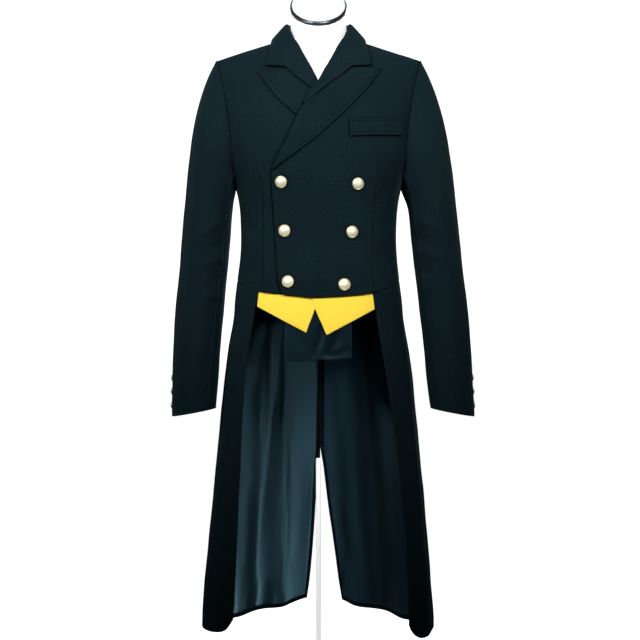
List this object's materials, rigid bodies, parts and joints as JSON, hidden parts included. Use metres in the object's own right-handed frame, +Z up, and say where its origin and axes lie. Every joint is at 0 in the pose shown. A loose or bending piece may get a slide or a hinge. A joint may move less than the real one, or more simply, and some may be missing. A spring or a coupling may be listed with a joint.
{
  "type": "double-breasted tailcoat on a limbless dress form with a pole stand",
  "caption": "Short-fronted double-breasted tailcoat with peak lapels and long split tails, buttoned on a limbless dress form on a slim round-based stand.",
  "frame": {"origin": "middle of the base plate's underside, on the floor", "axes": "+Z up along the stand's pole, -Y out of the coat's buttoned front, +X towards the wearer's left side"},
  "size_m": [0.603, 0.38, 1.6501],
  "materials": {
    "wool": "matte black wool twill with a green cast",
    "satin": "dark blue-green satin",
    "point_cloth": "matte yellow cloth",
    "button_metal": "pale gold, domed",
    "form_skin": "matte white",
    "ring_metal": "dark, satin",
    "cap_paint": "pale blue-white",
    "rod_metal": "dark, satin",
    "stand_paint": "white, satin"
  },
  "bodies": {
    "root": {"front_left": "wool", "front_right": "wool", "side_left": "wool", "side_right": "wool", "back_left": "wool", "back_right": "wool", "sleeve_left": "wool", "sleeve_right": "wool", "tail_left": "wool", "tail_right": "wool", "tail_lining_left": "satin", "tail_lining_right": "satin", "lapel_left": "wool", "lapel_right": "wool", "collar": "wool", "breast_welt": "wool", "point_left": "point_cloth", "point_right": "point_cloth", "inner_flap": "satin", "button_top_edge": "button_metal", "button_top_chest": "button_metal", "button_mid_edge": "button_metal", "button_mid_chest": "button_metal", "button_low_edge": "button_metal", "button_low_chest": "button_metal", "cuff_button_left_1": "button_metal", "cuff_button_left_2": "button_metal", "cuff_button_left_3": "button_metal", "cuff_button_right_1": "button_metal", "cuff_button_right_2": "button_metal", "cuff_button_right_3": "button_metal", "form": "form_skin", "neck_ring": "ring_metal", "neck_cap": "cap_paint", "stand_rod": "rod_metal", "stand_tube": "stand_paint", "stand_socket": "stand_paint", "stand_base": "stand_paint"}
  },
  "joints": []
}
